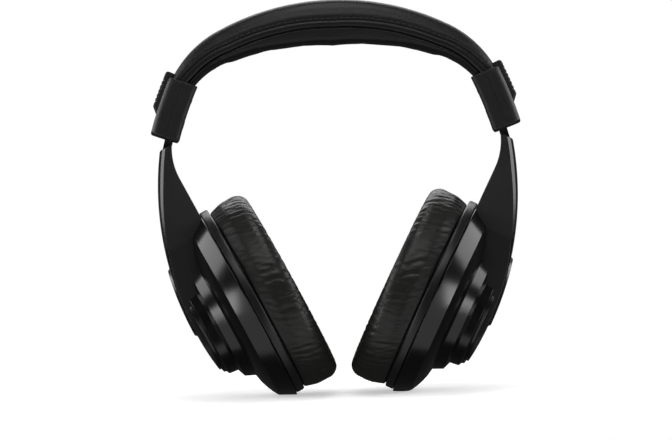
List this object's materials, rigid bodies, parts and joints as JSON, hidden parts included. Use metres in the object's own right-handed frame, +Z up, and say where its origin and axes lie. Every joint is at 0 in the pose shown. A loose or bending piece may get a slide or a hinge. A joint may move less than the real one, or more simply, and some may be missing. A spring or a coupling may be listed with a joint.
{
  "type": "over ear headphones",
  "caption": "Closed-back over-ear headphones: sprung padded headband, sliding stems, one-piece arms and cups, round leatherette ear cushions.",
  "frame": {"origin": "middle of the headband's underside, where it rests on the crown of the head or on a hanger", "axes": "+Z up, +X to the wearer's left ear, -Y forwards, the way the wearer looks"},
  "size_m": [0.1792, 0.0994, 0.1894],
  "materials": {
    "leatherette": "soft grained leatherette, satin",
    "cushion_leatherette": "soft thin leatherette with fine gathers, satin",
    "piping": "leatherette rolled over a cord, satin",
    "cushion_foam": "open-cell polyurethane foam",
    "spring_steel": "blued spring steel strip",
    "black_nylon": "moulded glass-filled nylon, fine spark texture",
    "grip_rubber": "moulded elastomer, matt ribs",
    "screw_steel": "black oxide steel",
    "gloss_abs": "ABS with a fine matt texture on the arm and polished turned bands on the cup",
    "satin_abs": "moulded ABS, satin",
    "badge_abs": "ABS disc with a spun satin face and polished bevel",
    "scrim_cloth": "acoustically open knitted cloth",
    "magnet_steel": "zinc plated steel",
    "pet_film": "thin translucent polyester film",
    "wool_felt": "pressed felt",
    "wire_sleeve": "PVC insulation",
    "gland_rubber": "moulded flexible PVC",
    "circuit_board": "solder-masked board"
  },
  "bodies": {
    "headband": {"spring_band": "spring_steel", "band_core": "black_nylon", "band_foam": "cushion_foam", "band_cover": "leatherette", "piping_front": "piping", "piping_rear": "piping", "pad_foam": "cushion_foam", "pad_cover": "leatherette", "crossover_wire": "wire_sleeve"},
    "left_side": {"left_housing_outer": "black_nylon", "left_housing_inner": "black_nylon", "left_grip": "grip_rubber", "left_detent_spring": "spring_steel", "left_housing_screws": "screw_steel", "left_band_rivets": "screw_steel"},
    "left_arm": {"left_stem": "black_nylon", "left_arm_shell": "gloss_abs", "left_arm_cover": "black_nylon", "left_arm_screws": "screw_steel", "left_badge": "badge_abs", "left_baffle": "satin_abs", "left_baffle_screws": "screw_steel", "left_grille": "satin_abs", "left_scrim": "scrim_cloth", "left_cushion_plate": "satin_abs", "left_cushion_foam": "cushion_foam", "left_cushion_cover": "cushion_leatherette", "left_driver_frame": "satin_abs", "left_driver_magnet": "magnet_steel", "left_diaphragm": "pet_film", "left_damping_pad": "wool_felt", "left_cable_gland": "gland_rubber", "left_gland_nut": "black_nylon", "left_terminal_board": "circuit_board"},
    "right_side": {"right_housing_outer": "black_nylon", "right_housing_inner": "black_nylon", "right_grip": "grip_rubber", "right_detent_spring": "spring_steel", "right_housing_screws": "screw_steel", "right_band_rivets": "screw_steel"},
    "right_arm": {"right_stem": "black_nylon", "right_arm_shell": "gloss_abs", "right_arm_cover": "black_nylon", "right_arm_screws": "screw_steel", "right_badge": "badge_abs", "right_baffle": "satin_abs", "right_baffle_screws": "screw_steel", "right_grille": "satin_abs", "right_scrim": "scrim_cloth", "right_cushion_plate": "satin_abs", "right_cushion_foam": "cushion_foam", "right_cushion_cover": "cushion_leatherette", "right_driver_frame": "satin_abs", "right_driver_magnet": "magnet_steel", "right_diaphragm": "pet_film", "right_damping_pad": "wool_felt"}
  },
  "joints": [
    {"name": "left_flex", "type": "hinge", "parent": "headband", "child": "left_side", "pos_m": [0.04, 0, 0.016], "axis": [0, -1, 0], "range_deg": [0, 27], "stiffness_Nm_per_rad": 1.2, "deforming": ["spring_band", "band_core", "band_foam", "band_cover", "piping_front", "piping_rear", "pad_foam", "pad_cover", "crossover_wire"]},
    {"name": "left_slider", "type": "slide", "parent": "left_side", "child": "left_arm", "axis": [0.2583, -0.0167, -0.9659], "range_m": [-0.0015, 0.024]},
    {"name": "right_flex", "type": "hinge", "parent": "headband", "child": "right_side", "pos_m": [-0.04, 0, 0.016], "axis": [0, 1, 0], "range_deg": [0, 27], "stiffness_Nm_per_rad": 1.2, "deforming": ["spring_band", "band_core", "band_foam", "band_cover", "piping_front", "piping_rear", "pad_foam", "pad_cover", "crossover_wire"]},
    {"name": "right_slider", "type": "slide", "parent": "right_side", "child": "right_arm", "axis": [-0.2583, -0.0167, -0.9659], "range_m": [-0.0015, 0.024]}
  ]
}
